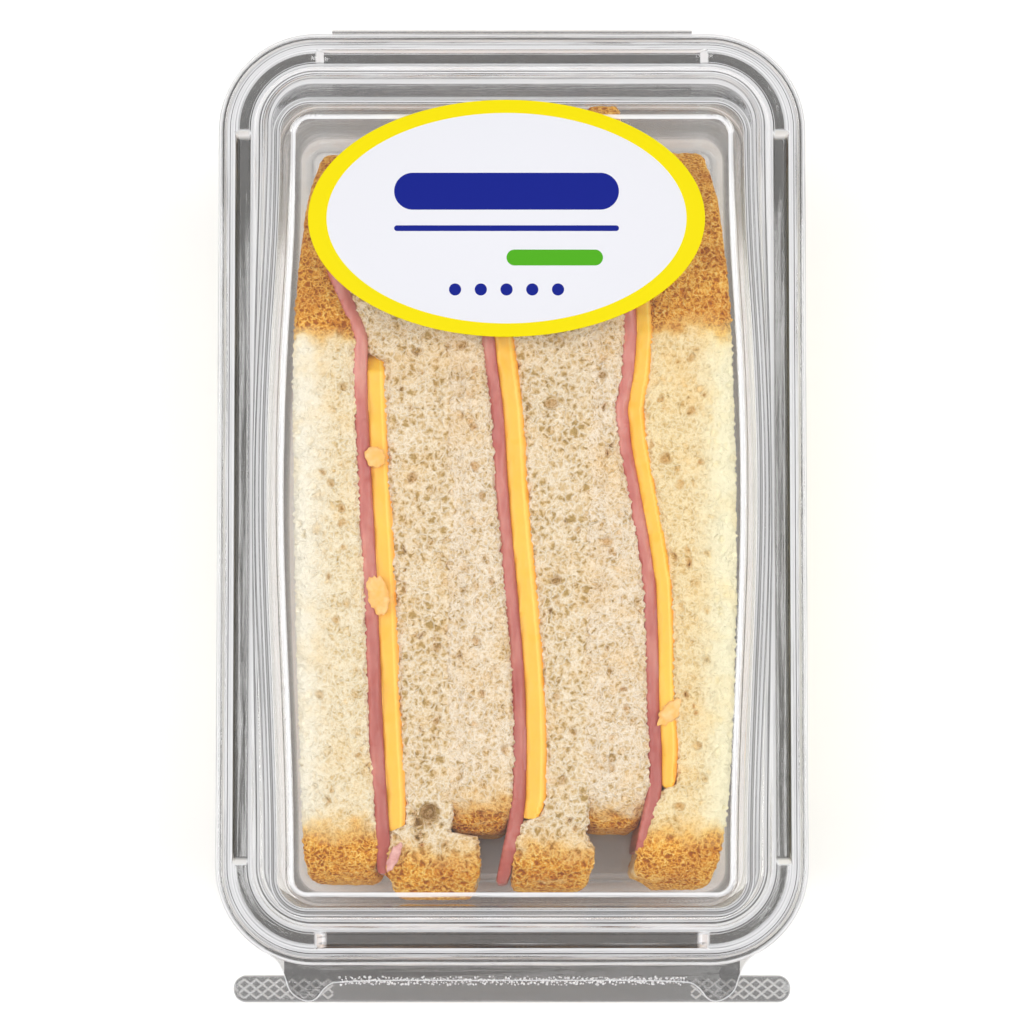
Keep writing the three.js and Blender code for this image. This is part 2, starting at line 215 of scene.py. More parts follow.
def attributeNode(tree, name):
    node = tree.nodes.new("ShaderNodeAttribute")
    node.attribute_name = name
    return node.outputs["Fac"]


def objectAxes(tree):
    place = tree.nodes.new("ShaderNodeTexCoord")
    split = tree.nodes.new("ShaderNodeSeparateXYZ")
    tree.links.new(place.outputs["Object"], split.inputs["Vector"])
    return split.outputs


def treeOf(values):
    # the material's tree, from the first of the values that is a node's socket
    return next(value.id_data for value in values if isinstance(value, bpy.types.NodeSocket))


def rampNode(source, stops):
    # a stop is a place with a colour or, for a grey, one number
    ramp = source.id_data.nodes.new("ShaderNodeValToRGB")
    elements = ramp.color_ramp.elements
    while len(elements) < len(stops):
        elements.new(0.5)
    for element, (place, colour) in zip(elements, stops):
        element.position = place
        element.color = (*colour, 1) if isinstance(colour, tuple) else (colour, colour, colour, 1)
    source.id_data.links.new(source, ramp.inputs["Fac"])
    return ramp.outputs["Color"]


def noiseNode(tree, scale, detail=3, roughness=0.6, stretch=(1, 1, 1)):
    place = tree.nodes.new("ShaderNodeTexCoord")
    turn = tree.nodes.new("ShaderNodeMapping")
    turn.inputs["Scale"].default_value = stretch
    tree.links.new(place.outputs["Object"], turn.inputs["Vector"])
    field = tree.nodes.new("ShaderNodeTexNoise")
    field.inputs["Scale"].default_value = scale
    field.inputs["Detail"].default_value = detail
    field.inputs["Roughness"].default_value = roughness
    tree.links.new(turn.outputs["Vector"], field.inputs["Vector"])
    return field.outputs["Fac"]


def mixNode(factor, first, second, blend="MIX"):
    tree = treeOf((factor, first, second))
    node = tree.nodes.new("ShaderNodeMix")
    node.data_type = "RGBA"
    node.blend_type = blend
    for value, socket in ((factor, 0), (first, 6), (second, 7)):
        if isinstance(value, (int, float)):
            node.inputs[socket].default_value = value
        elif isinstance(value, tuple):
            node.inputs[socket].default_value = (*value, 1)
        else:
            tree.links.new(value, node.inputs[socket])
    return node.outputs[2]


def bumpNode(height, strength, distance):
    bump = height.id_data.nodes.new("ShaderNodeBump")
    bump.inputs["Strength"].default_value = strength
    bump.inputs["Distance"].default_value = distance
    height.id_data.links.new(height, bump.inputs["Height"])
    return bump.outputs["Normal"]


def mathNode(operation, *values):
    tree = treeOf(values)
    node = tree.nodes.new("ShaderNodeMath")
    node.operation = operation
    for value, socket in zip(values, node.inputs):
        if isinstance(value, (int, float)):
            socket.default_value = value
        else:
            tree.links.new(value, socket)
    return node.outputs["Value"]


# clear sheet: light passes straight through it, and it shines by how slantwise it is seen.
# tint goes from a wall's 0 to a flat part's 1, or to 1 where it faces the view, so only walls seen along
# their sheet are dark, partly from the longer path through the sheet and partly as painted shade for the
# light such walls bend away;
# the haze and highlight goes by the wall's lean alone: a faint haze everywhere, and on the rounded ledges a
# strong white diffuse that is a painted highlight. Stock is the tint of the flat rim and tabs, which aren't
# drawn thin

# the haze ramps hold a faint haze on the flats and a painted highlight, strong white diffuse, on the rounded
# ledges
clearFinish = {"mirror": 0.048, "gloss": 0.05, "hazeAndHighlightWhite": (0.95, 0.95, 0.97, 1), "ripple": 0.12 * mm,
               "streak": 0.14, "streakStretch": (2.2, 0.07, 1), "calm": 0.97, "flat": 0.93,
               "lockTint": 0.9, "lockHighlight": 0.6,
               "tray": {"tint": ((0, 0.9), (0.1, 0.52), (0.5, 0.52), (0.72, 0.9), (0.93, 0.86), (1, 0.82)),
                        "hazeAndHighlight": ((0, 0.01), (0.45, 0.02), (0.68, 0.14), (0.88, 0.12), (0.95, 0.02)),
                        "stock": 0.47},
               "lid": {"tint": ((0, 0.9), (0.1, 0.22), (0.5, 0.22), (0.7, 0.9), (0.93, 0.95), (1, 0.975)),
                       "hazeAndHighlight": ((0, 0.004), (0.45, 0.02), (0.65, 0.58), (0.85, 0.5), (0.93, 0.01),
                                (1, 0.004)),
                       "stock": 0.8}}


def clearSheet(kind):
    finish = clearFinish[kind]
    material, tree, base = newMaterial("%sClear" % kind)
    tree.nodes.clear()
    add, link = tree.nodes.new, tree.links.new
    flow = add("ShaderNodeAttribute")
    flow.attribute_name = "flow"
    stretch = add("ShaderNodeMapping")
    stretch.inputs["Scale"].default_value = clearFinish["streakStretch"]
    link(flow.outputs["Vector"], stretch.inputs["Vector"])
    streaks = add("ShaderNodeTexNoise")
    streaks.inputs["Scale"].default_value = 1
    streaks.inputs["Detail"].default_value = 3
    link(stretch.outputs["Vector"], streaks.inputs["Vector"])
    geometry = add("ShaderNodeNewGeometry")
    slant = add("ShaderNodeLayerWeight")
    slant.inputs["Blend"].default_value = 0.5
    link(geometry.outputs["True Normal"], slant.inputs["Normal"])
    split = add("ShaderNodeSeparateXYZ")
    link(geometry.outputs["True Normal"], split.inputs["Vector"])
    upright = mathNode("ABSOLUTE", split.outputs["Z"])
    faced = mathNode("MAXIMUM", upright, mathNode("SUBTRACT", 1, slant.outputs["Facing"]))
    wander = mathNode("MULTIPLY", mathNode("SUBTRACT", streaks.outputs["Fac"], 0.5),
                      clearFinish["streak"])
    wander = mathNode("MULTIPLY", wander, mathNode("LESS_THAN", upright, clearFinish["calm"]))
    # darker where a wall is seen along its sheet: partly the longer path through the sheet, partly painted
    # shade for the light such walls bend away
    tint = rampNode(mathNode("ADD", faced, wander), finish["tint"])
    # painted highlight: white diffuse on the rounded ledges where lamp reflections would show, over a faint
    # real haze
    hazeAndHighlight = rampNode(mathNode("ADD", upright, wander), finish["hazeAndHighlight"])
    isFlat = mathNode("GREATER_THAN", upright, clearFinish["flat"])
    level = mathNode("MULTIPLY", attributeNode(tree, "stock"), isFlat)
    tint = mixNode(level, tint, (finish["stock"],) * 3)
    # the lock groove's cross walls get a lighter tint and a painted highlight of white diffuse
    closing = attributeNode(tree, "lockEnd")
    tint = mixNode(closing, tint, (clearFinish["lockTint"],) * 3)
    hazeAndHighlight = mathNode("MAXIMUM", hazeAndHighlight, mathNode("MULTIPLY", closing, clearFinish["lockHighlight"]))
    passing = add("ShaderNodeBsdfTransparent")
    link(tint, passing.inputs["Color"])
    waves = mathNode("MULTIPLY", streaks.outputs["Fac"], attributeNode(tree, "ripple"))
    gloss = add("ShaderNodeBsdfGlossy")
    gloss.inputs["Roughness"].default_value = clearFinish["gloss"]
    gloss.inputs["Color"].default_value = (1, 1, 1, 1)
    link(bumpNode(waves, 0.5, clearFinish["ripple"]), gloss.inputs["Normal"])
    mirror = mathNode("MULTIPLY_ADD", mathNode("POWER", slant.outputs["Facing"], 5),
                      1 - clearFinish["mirror"], clearFinish["mirror"])
    mix = add("ShaderNodeMixShader")
    link(mirror, mix.inputs["Fac"])
    link(passing.outputs["BSDF"], mix.inputs[1])
    link(gloss.outputs["BSDF"], mix.inputs[2])
    # the white of the faint haze and of the painted highlight
    hazeAndHighlightWhite = add("ShaderNodeBsdfDiffuse")
    hazeAndHighlightWhite.inputs["Color"].default_value = clearFinish["hazeAndHighlightWhite"]
    hazedAndHighlighted = add("ShaderNodeMixShader")
    link(hazeAndHighlight, hazedAndHighlighted.inputs["Fac"])
    link(mix.outputs["Shader"], hazedAndHighlighted.inputs[1])
    link(hazeAndHighlightWhite.outputs["BSDF"], hazedAndHighlighted.inputs[2])
    out = add("ShaderNodeOutputMaterial")
    link(hazedAndHighlighted.outputs["Shader"], out.inputs["Surface"])
    return material


# the two shells of the pack

shell = {"halfWidth": 47 * mm, "extraLength": 27.6 * mm, "cornerRadius": 15.5 * mm, "centreY": 2.6 * mm,
         "sheet": 0.45 * mm, "cornerSteps": 18, "sideCuts": 59, "endCuts": 31, "crowd": 1.6,
         "fillet": 0.5 * mm, "innerStep": 0.3 * mm, "endLengths": (0.05, 0.08), "sideLengths": (0.09, 0.2),
         "bow": 1.8 * mm, "bowFrom": 41.7 * mm, "bowTo": 38.7 * mm, "waver": 0.07 * mm,
         "stock": (33 * mm, 38.4 * mm), "rippled": (2 * mm, 59.2 * mm), "cornerRun": 12 * mm,
         "panelHeights": (42 * mm, 58 * mm), "panelEnds": (20 * mm, 50 * mm),
         "panelBack": 4.4 * mm, "panelFront": 2.0 * mm, "lockInset": 0.8 * mm, "lockDepth": 2.55 * mm,
         "lockOuter": (44.5, 43.9), "lockInner": (42.1, 41.7), "lockRing": (41.8, 44.4),
         "lockLow": 32 * mm, "lockSlope": 0.3 * mm, "lockWall": 0.5 * mm,
         "backDepth": 1.1 * mm, "backSlope": 1 * mm}
coreX = shell["halfWidth"] - shell["cornerRadius"]
coreY = coreX + shell["extraLength"]
lockX, lockY = coreX - shell["lockInset"], coreY - shell["lockInset"]
# each profile is the sheet's middle from the rim inwards, as (half width of the ring, height) in millimetres
trayProfile = ((47, 34.25), (46.75, 34.6), (44.9, 34.625), (44.6, 33.725), (42.0, 33.725), (41.2, 32.7),
               (40.3, 27.2), (39.3, 26.3), (38.6, 17.5), (37.9, 16.7), (37.2, 7.0), (36.6, 3.2), (35.4, 0.75),
               (34.2, 0.225), (32.9, 0.225), (32.3, 0.825))
lidProfile = ((47, 35.1), (46.7, 35.5), (46.15, 35.55), (45.95, 35.25), (45.2, 35.65), (45.0, 36.15),
              (44.4, 36.55), (44.1, 37.0), (43.8, 37.275), (43.0, 37.275), (41.95, 37.275), (41.65, 38.2),
              (40.4, 38.85), (40.05, 39.8), (38.95, 40.2), (38.6, 46.2), (37.9, 46.9), (37.5, 55.5),
              (37.3, 58.3), (36.9, 58.65), (36.45, 60.2), (34.5, 60.4), (33.8, 59.9))


def filleted(profile, radius):
    points = [Vector(p) * mm for p in profile]
    soft = [points[0]]
    for before, corner, after in zip(points, points[1:], points[2:]):
        inward, outward = before - corner, after - corner
        cut = min(radius, 0.45 * inward.length, 0.45 * outward.length)
        start, end = corner + inward.normalized() * cut, corner + outward.normalized() * cut
        for k in range(4):
            t = k / 3
            soft.append(start * (1 - t) ** 2 + corner * 2 * t * (1 - t) + end * t * t)
    soft.append(points[-1])
    return soft


def overCore(place):
    # how far a place lies beyond the straight stretches' ends, across and along
    return abs(place.x) - coreX, abs(place.y - shell["centreY"]) - coreY


def ringShape(place):
    # half width of the ring that a place lies on
    overX, overY = overCore(place)
    if overX > 0 and overY > 0:
        return coreX + math.hypot(overX, overY)
    return coreX + max(overX, overY)


def onRing(point, ring):
    # the same point of the outline on another ring: ring.x is its half width, ring.y its height
    core = Vector((min(coreX, max(-coreX, point.x)), min(coreY, max(-coreY, point.y - shell["centreY"]))))
    out = Vector((point.x, point.y - shell["centreY"])) - core
    place = core + out.normalized() * (ring.x - coreX)
    return Vector((place.x, place.y + shell["centreY"], ring.y))


def flowPlace(place):
    # where a place lies across and along the outline, for streaks that follow it
    overX, overY = overCore(place)
    if overY < 0:
        along = coreY + overY
    elif overX > 0:
        along = coreY + math.atan2(overY, overX) * shell["cornerRun"]
    else:
        along = coreY + math.pi / 2 * shell["cornerRun"] - overX
    side = min(coreX, max(-coreX, place.x)) / shell["cornerRun"]
    return Vector((ringShape(place) / mm, math.copysign(along, place.y - shell["centreY"]) / mm, side))


def lockEnd(place):
    # 1 on the cross walls that close the lock groove at the corners
    low, high = shell["lockRing"]
    inGroove = low < ringShape(place) / mm < high and place.z > shell["lockLow"]
    alongSide = abs(abs(place.y - shell["centreY"]) - lockY)
    alongFront = abs(abs(place.x) - lockX) if place.y < 0 else 1
    return float(inGroove and min(alongSide, alongFront) < shell["lockWall"])


def between(piece, heights):
    low, high = heights
    return [float(low < vertex.co.z < high) for vertex in piece.data.vertices]


def writeFlow(piece):
    flow = [number for vertex in piece.data.vertices for number in flowPlace(vertex.co)]
    attribute = piece.data.attributes.new("flow", "FLOAT_VECTOR", "POINT")
    attribute.data.foreach_set("vector", flow)
    writeAttribute(piece, "stock", between(piece, shell["stock"]))
    writeAttribute(piece, "ripple", between(piece, shell["rippled"]))
    writeAttribute(piece, "lockEnd", [lockEnd(vertex.co) for vertex in piece.data.vertices])
    return piece


def pressedSheet(name, profile, reshape):
    # a sheet drawn ring by ring from its rim inwards
    bpy.ops.object.select_all(action="DESELECT")
    bpy.ops.mesh.primitive_plane_add(size=2, location=(0, shell["centreY"], profile[0][1] * mm))
    piece = sized(name, (shell["halfWidth"], shell["halfWidth"] + shell["extraLength"], 1))
    editing(piece)
    bpy.ops.mesh.select_all(action="SELECT")
    bpy.ops.mesh.bevel(offset=shell["cornerRadius"], segments=shell["cornerSteps"], affect="VERTICES")
    bpy.ops.mesh.select_all(action="SELECT")
    bpy.ops.mesh.delete(type="ONLY_FACE")
    for cuts, lengths in ((shell["endCuts"], shell["endLengths"]), (shell["sideCuts"], shell["sideLengths"])):
        doneEditing()
        for edge in piece.data.edges:
            ends = [piece.data.vertices[i].co for i in edge.vertices]
            edge.select = lengths[0] < (ends[0] - ends[1]).length < lengths[1]
        for vertex in piece.data.vertices:
            vertex.select = False
        editing(piece)
        bpy.ops.mesh.select_mode(type="EDGE")
        bpy.ops.mesh.subdivide(number_cuts=cuts)
    doneEditing()
    for vertex in piece.data.vertices:
        x, y = vertex.co.x, vertex.co.y - shell["centreY"]
        if abs(y) < coreY - 1e-6:
            vertex.co.y = shell["centreY"] + crowded(y, coreY)
        if abs(x) < coreX - 1e-6:
            vertex.co.x = crowded(x, coreX)
    editing(piece)
    bpy.ops.mesh.select_mode(type="VERT")
    bpy.ops.mesh.select_all(action="SELECT")
    line = filleted(profile, shell["fillet"])
    for there in line[1:] + [line[-1] - Vector((shell["innerStep"], 0))]:
        bpy.ops.mesh.extrude_region()
        doneEditing()
        for vertex in piece.data.vertices:
            if vertex.select:
                vertex.co = onRing(vertex.co, there)
        editing(piece)
    bpy.ops.mesh.edge_face_add()
    closedOutwards()
    for vertex in piece.data.vertices:
        reshape(vertex)
    wall = piece.modifiers.new("wall", "SOLIDIFY")
    wall.thickness = shell["sheet"]
    wall.offset = 0
    wall.use_even_offset = True
    applyAll(piece)
    return piece


def crowded(place, half):
    # closer together towards the ends
    share = 1 - abs(place) / half
    return math.copysign(half * (1 - share ** shell["crowd"]), place)


def bowSides(vertex):
    along = vertex.co.y - shell["centreY"]
    if abs(along) < coreY:
        out = ease(shell["bowFrom"], shell["bowTo"], ringShape(vertex.co))
        out *= shell["bow"] * math.cos(math.pi * along / 2 / coreY) ** 2
        vertex.co.x += math.copysign(out, vertex.co.x)


def lockShare(place):
    # 1 where the lock groove runs: along both sides and the front, but not round the corners
    slope = shell["lockSlope"]
    alongSide = 1 - ease(lockY - slope, lockY + slope, abs(place.y - shell["centreY"]))
    alongFront = (1 - ease(lockX - slope, lockX + slope, abs(place.x))) * (place.y < 0)
    return max(alongSide, alongFront)


def waver(vertex):
    # the slight waves of the walls, which the floor and the top panel are without
    ring, along, side = flowPlace(vertex.co)
    low, high = shell["rippled"]
    if low < vertex.co.z < high:
        spot = Vector((ring * 1.1, along * 0.07, side + vertex.co.z / 4 / mm))
        vertex.co.z += shell["waver"] * noise.noise(spot)


def reshapeTray(vertex):
    waver(vertex)
    bowSides(vertex)


def reshapeLid(vertex):
    ring = ringShape(vertex.co) / mm
    groove = ease(*shell["lockOuter"], ring) - ease(*shell["lockInner"], ring)
    back = (1 - ease(coreX - shell["backSlope"], coreX, abs(vertex.co.x))) * (vertex.co.y > 0)
    vertex.co.z -= groove * (shell["lockDepth"] * lockShare(vertex.co) + shell["backDepth"] * back)
    waver(vertex)
    bowSides(vertex)
    # the top panel lies towards the tab, so that the hinge end slopes most
    raised = ease(*shell["panelHeights"], vertex.co.z) * ease(*shell["panelEnds"], abs(vertex.co.y))
    vertex.co.y -= raised * (shell["panelBack"] if vertex.co.y > 0 else shell["panelFront"])


# what stands out from the rims: the tray's wide tab and its ears, the lid's shorter tab, the hinge's bead

tabs = {"barHalf": 44.2 * mm, "barFront": -78 * mm, "barBack": -73.7 * mm, "neckHalf": 36.2 * mm,
        "neckBack": -70 * mm, "trayLow": 34.45 * mm, "trayThick": 0.35 * mm, "chamfer": 0.2 * mm,
        "lidLow": 35.2 * mm, "lidThick": 0.35 * mm,
        "lidOutline": ((40.3, -69.4), (37.2, -71.4), (36.1, -74.0), (35.4, -76.4), (33.2, -77.9),
                       (31.2, -77.9), (29.6, -75.6), (27.6, -74.6), (0, -74.6)),
        "ridgeWidth": 0.17 * mm, "ridgeRise": 0.13 * mm, "ridgeStep": 1.9 * mm, "ridgeTurn": 38,
        "ridgeInner": 28.4 * mm, "ridgeMargin": 0.6 * mm, "ridgeOver": 3 * mm, "ridgePart": 0.1 * mm,
        "toothRadius": 0.3 * mm, "toothStep": 0.42 * mm, "toothReach": 27.6 * mm, "toothLine": -74.15 * mm,
        "toothSink": 0.05 * mm, "toothDrop": 0.2 * mm,
        "inset": 0.1 * mm, "overlap": 1 * mm, "sink": 0.01 * mm,
        "beadRadius": 0.3 * mm, "beadHalf": 29 * mm, "beadY": 77.7 * mm, "beadZ": 35 * mm,
        "webFront": 76.8 * mm, "webLow": 34.72 * mm, "webThick": 0.12 * mm}
earRadius = (tabs["barBack"] - tabs["barFront"]) / 2
earY = (tabs["barBack"] + tabs["barFront"]) / 2


def plate(name, halfX, front, back, low, thick, radius=0):
    bpy.ops.object.select_all(action="DESELECT")
    bpy.ops.mesh.primitive_plane_add(size=2, location=(0, (front + back) / 2, low))
    piece = sized(name, (halfX, (back - front) / 2, 1))
    editing(piece)
    bpy.ops.mesh.select_all(action="SELECT")
    if radius:
        bpy.ops.mesh.bevel(offset=radius, segments=10, affect="VERTICES")
        bpy.ops.mesh.select_all(action="SELECT")
    bpy.ops.mesh.extrude_region_move(TRANSFORM_OT_translate={"value": (0, 0, thick)})
    closedOutwards()
    return piece


def chamferTop(piece, height):
    selectFaces(piece, lambda face: face.normal.z > 0.9 and face.center.z > height - tabs["sink"])
    bpy.ops.mesh.bevel(offset=tabs["chamfer"], segments=1, affect="EDGES")
    doneEditing()


def inEar(place):
    near = min(max(place.x, tabs["ridgeInner"]), tabs["barHalf"] - earRadius)
    away = math.hypot(place.x - near, place.y - earY)
    return place.x > tabs["ridgeInner"] and away < earRadius - tabs["ridgeMargin"]


def addRidges(tab, side):
    # crossed ridges on one ear, each cut to the ear's outline, and one way a little higher than the other
    top = tabs["trayLow"] + tabs["trayThick"]
    for way, share in ((1, 1), (-1, 0.9)):
        turn, rise = way * tabs["ridgeTurn"], share * tabs["ridgeRise"]
        run = Vector((math.cos(math.radians(turn)), math.sin(math.radians(turn))))
        start = tabs["ridgeInner"] - tabs["ridgeOver"]
        made = []
        while start < tabs["barHalf"] + tabs["ridgeOver"]:
            places = [Vector((start, earY)) + run * k * tabs["ridgePart"] for k in range(-60, 61)]
            inside = [place for place in places if inEar(place)]
            start += tabs["ridgeStep"]
            if len(inside) < 8:
                continue
            centre, length = (inside[0] + inside[-1]) / 2, (inside[-1] - inside[0]).length
            bpy.ops.mesh.primitive_cylinder_add(vertices=4, radius=1, depth=1, rotation=(0, math.pi / 2, 0),
                                                location=(0, 0, 0))
            ridge = bpy.context.object
            settle()
            ridge.scale = (length, tabs["ridgeWidth"], rise)
            ridge.rotation_euler = (0, 0, math.radians(turn * side))
            ridge.location = (side * centre.x, centre.y, top)
            made.append(ridge)
        ridges = joined(made, "ridges")
        settle()
        united(tab, ridges)


def makeTray():
    tray = pressedSheet("trayShell", trayProfile, reshapeTray)
    low, thick = tabs["trayLow"], tabs["trayThick"]
    bar = plate("bar", tabs["barHalf"], tabs["barFront"], tabs["barBack"], low, thick,
                earRadius - tabs["inset"])
    chamferTop(bar, low + thick)
    neck = plate("neck", tabs["neckHalf"], tabs["barBack"] - tabs["overlap"], tabs["neckBack"],
                 low + tabs["sink"], thick - 2 * tabs["sink"])
    united(bar, neck)
    for side in (-1, 1):
        addRidges(bar, side)
    bpy.ops.object.select_all(action="DESELECT")
    bpy.ops.mesh.primitive_cylinder_add(vertices=16, radius=tabs["beadRadius"], depth=2 * tabs["beadHalf"],
                                        location=(0, tabs["beadY"], tabs["beadZ"]),
                                        rotation=(0, math.pi / 2, 0))
    bead = bpy.context.object
    settle()
    web = plate("web", tabs["beadHalf"] - tabs["inset"], tabs["webFront"], tabs["beadY"],
                tabs["webLow"], tabs["webThick"])
    united(bead, web)
    united(tray, bar)
    united(tray, bead)
    return tray


def softened(points):
    # cuts the corners of a line of points twice, keeping its ends
    for _ in range(2):
        cut = [points[0]]
        for here, there in zip(points, points[1:]):
            cut += [here.lerp(there, 0.25), here.lerp(there, 0.75)]
        points = cut + [points[-1]]
    return points


def makeLidTab():
    half = softened([Vector(place) * mm for place in tabs["lidOutline"]])
    outline = half + [Vector((-place.x, place.y)) for place in reversed(half[:-1])]
    bpy.ops.object.select_all(action="DESELECT")
    bpy.ops.mesh.primitive_circle_add(vertices=len(outline), radius=1, fill_type="NGON", location=(0, 0, 0))
    tab = bpy.context.object
    for vertex, place in zip(tab.data.vertices, outline):
        vertex.co = (place.x, place.y, tabs["lidLow"])
    editing(tab)
    bpy.ops.mesh.select_all(action="SELECT")
    bpy.ops.mesh.extrude_region_move(TRANSFORM_OT_translate={"value": (0, 0, tabs["lidThick"])})
    closedOutwards()
    chamferTop(tab, tabs["lidLow"] + tabs["lidThick"])
    return tab


def makeLid():
    lid = pressedSheet("lidShell", lidProfile, reshapeLid)
    united(lid, makeLidTab())
    return joined([lid, makeTeeth()], "lidShell")


def makeTeeth():
    # the fine crushed line along the front of the lid's tab
    rng = random.Random(5)
    top = tabs["lidLow"] + tabs["lidThick"] - tabs["toothSink"]
    teeth = []
    start = -tabs["toothReach"]
    while start < tabs["toothReach"]:
        for row in (0, 1, 2):
            x = start + rng.uniform(0, 0.4) * mm
            y = tabs["toothLine"] - row * tabs["toothStep"] + rng.uniform(-0.25, 0.25) * mm
            radius, width, turn = rng.uniform(0.5, 1.1), rng.uniform(0.5, 1.1), rng.uniform(0, 3)
            bpy.ops.mesh.primitive_ico_sphere_add(subdivisions=1, radius=tabs["toothRadius"] * radius,
                                                  location=(x, y, top - row * tabs["toothDrop"]),
                                                  scale=(1, width, 0.7), rotation=(0, 0, turn))
            teeth.append(bpy.context.object)
        start += tabs["toothStep"]
    line = joined(teeth, "teeth")
    settle()
    return line


def lightPassing(piece):
    # thin clear sheet throws no shadow worth seeing on what it holds
    piece.visible_shadow = False
    piece.visible_diffuse = False
    return piece


def finishPiece(piece, material, body, slotName, *nodes):
    piece.data.materials.clear()
    piece.data.materials.append(material)
    onlySelect(piece)
    bpy.ops.object.shade_smooth_by_angle(angle=math.radians(50))
    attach(piece, body)
    if nodes:
        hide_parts(*nodes)


# food: every piece starts from its solid, remeshed finely enough for its own relief

def ownCopy(nodeName, pieceName, voxel):
    piece = bpy.data.objects.new(pieceName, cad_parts[nodeName].data.copy())
    bpy.context.scene.collection.objects.link(piece)
    editing(piece)
    bpy.ops.mesh.select_mode(type="VERT")
    bpy.ops.mesh.select_all(action="SELECT")
    bpy.ops.mesh.remove_doubles(threshold=1e-5)
    doneEditing()
    fine = piece.modifiers.new("fine", "REMESH")
    fine.mode = "VOXEL"
    fine.voxel_size = voxel
    applyAll(piece)
    return piece


def refined(piece, wanted, cuts, smoothings):
    selectFaces(piece, wanted)
    bpy.ops.mesh.subdivide(number_cuts=cuts)
    bpy.ops.mesh.select_mode(type="VERT")
    bpy.ops.mesh.vertices_smooth(factor=0.5, repeat=smoothings)
    doneEditing()


# bread: front and back are the ends along Y, band is the brown stretch seen at the front end,
# edges are stretches where a flank closes up to its neighbour, as (side, from y, to y, x at to, slope),
# pores are the few large ones as (x, y, radius, depth), and seam is the side on which the slice
# lies against its bare neighbour, with the height at which the two meet

slices = [
    {"seam": (0, 0), "front": -59.0, "back": 59.5, "shoulder": 26, "drop": 31, "top": 52.0, "band": 7.5,
     "pores": ((-26.5, 18.5, 1.0, 1.2), (-30.2, -30.0, 0.9, 1.0))},
    {"seam": (1, 52.0), "front": -61.4, "back": 60.5, "shoulder": 34, "drop": 29, "top": 51.2, "band": 6.2,
     "edges": ((1, -58, -51.7, -5.4, 0), (-1, -58, -50.7, -19.6, 0.02), (-1, 23.6, 31, -22.2, -0.45)),
     "pores": ((-12.8, -48.3, 1.9, 3.0), (-14.6, -49.9, 1.4, 2.2), (-15.6, 4.2, 1.1, 1.3))},
    {"seam": (-1, 52.0), "front": -51.4, "back": 67.3, "shoulder": 39, "drop": 27, "top": 52.8, "band": 4.4,
     "pores": ((-6.0, 12.0, 0.9, 1.0), (-4.6, 1.3, 0.8, 1.0))},
    {"seam": (1, 51.95), "front": -60.2, "back": 60.5, "shoulder": 35, "drop": 29, "top": 51.5, "band": 5.8,
     "edges": ((-1, -58, -49.2, 1.3, 0.12),),
     "pores": ((4.4, -48.6, 1.3, 2.2), (7.0, -12.0, 1.1, 1.4), (6.2, 16.0, 1.2, 1.4))},
    {"seam": (-1, 51.95), "front": -50.8, "back": 67.0, "shoulder": 39, "drop": 27, "top": 52.4, "band": 1.5,
     "pores": ((14.0, 20.3, 0.8, 1.2), (15.0, -6.0, 1.0, 1.2))},
    {"seam": (0, 0), "front": -59.8, "back": 59.8, "shoulder": 27, "drop": 31, "top": 52.0, "band": 7.8,
     "edges": ((-1, -58, -44.3, 23.4, 0.33),),
     "pores": ((23.8, 7.2, 1.3, 1.5), (28.0, 14.6, 0.9, 0.9), (25.5, -8.4, 1.0, 1.1))}]
# in millimetres, with a cell's depth adding up from (chance from which, least, spread)
crumb = {"voxel": 0.72 * mm, "cuts": 2, "cell": 1.4, "stretch": 0.82, "wall": 0.75, "warp": 0.45,
         "depths": ((0, 0.05, 0.2), (0.7, 0.1, 0.3), (0.93, 0.25, 0.5)), "rimDepth": 5, "capDepth": 6,
         "crustEdge": (0.9, 2.6), "bandBlur": (-5, 4.5), "shoulderBlur": (-3, 5),
         "endRadius": 8, "bottom": 1.4, "fuzz": 0.16, "swell": 0.14, "rimSwell": 0.32, "seamSwell": 0.65,
         "seamFrom": (-51.5, -49.5), "fray": 0.42, "deepest": 1.3, "paintedGlow": (0.85, 27.5, 33.5), "seed": 11}


def outlineDepth(cut, y, z):
    # how far a place lies inside the slice's crusted outline, in millimetres: its cut face has no crust
    radius = crumb["endRadius"]
    intoBack = max(y - cut["shoulder"], 0) / (cut["back"] - cut["shoulder"])
    roof = cut["top"] - cut["drop"] * (1 - math.sqrt(max(1 - intoBack ** 2, 0)))
    corner = math.hypot(max(cut["front"] + radius - y, 0), max(crumb["bottom"] + radius - z, 0))
    depth = min(y - cut["front"], z - crumb["bottom"], cut["back"] - y, radius - corner)
    if y > cut["shoulder"]:
        depth = min(depth, (roof - z) * 0.7 + 3 * (1 - ease(0, 0.3, intoBack)))
    return max(0, depth)


def seededCells(box, cell, stretch, rng):
    # jittered points on a grid over the slice's top, each with its own depth
    low, high = box
    points = []
    y = low.y / mm
    while y < high.y / mm:
        x = low.x / mm - 1
        while x < high.x / mm + 1:
            place = Vector((x + rng.random() * cell, (y + rng.random() * cell / stretch) * stretch, 0))
            chance = rng.random()
            depth = sum(least + spread * rng.random() for start, least, spread in crumb["depths"]
                        if chance >= start)
            points.append((place, depth))
            x += cell
        y += cell / stretch
    return points


def flankTable(piece):
    # the least and greatest x of the piece at each millimetre along it
    lows, highs = {}, {}
    for vertex in piece.data.vertices:
        place = round(vertex.co.y / mm)
        lows[place] = min(lows.get(place, 1), vertex.co.x)
        highs[place] = max(highs.get(place, -1), vertex.co.x)
    return lows, highs


def flankFinder(piece):
    # gives the least and greatest x of the piece at any place along it
    tables = flankTable(piece)

    def flanks(y):
        place = math.floor(y / mm)
        other = min(place + 1, max(tables[0]))
        place = max(place, min(tables[0]))
        share = y / mm - math.floor(y / mm)
        return [table[place] + (table[other] - table[place]) * share for table in tables]

    return flanks


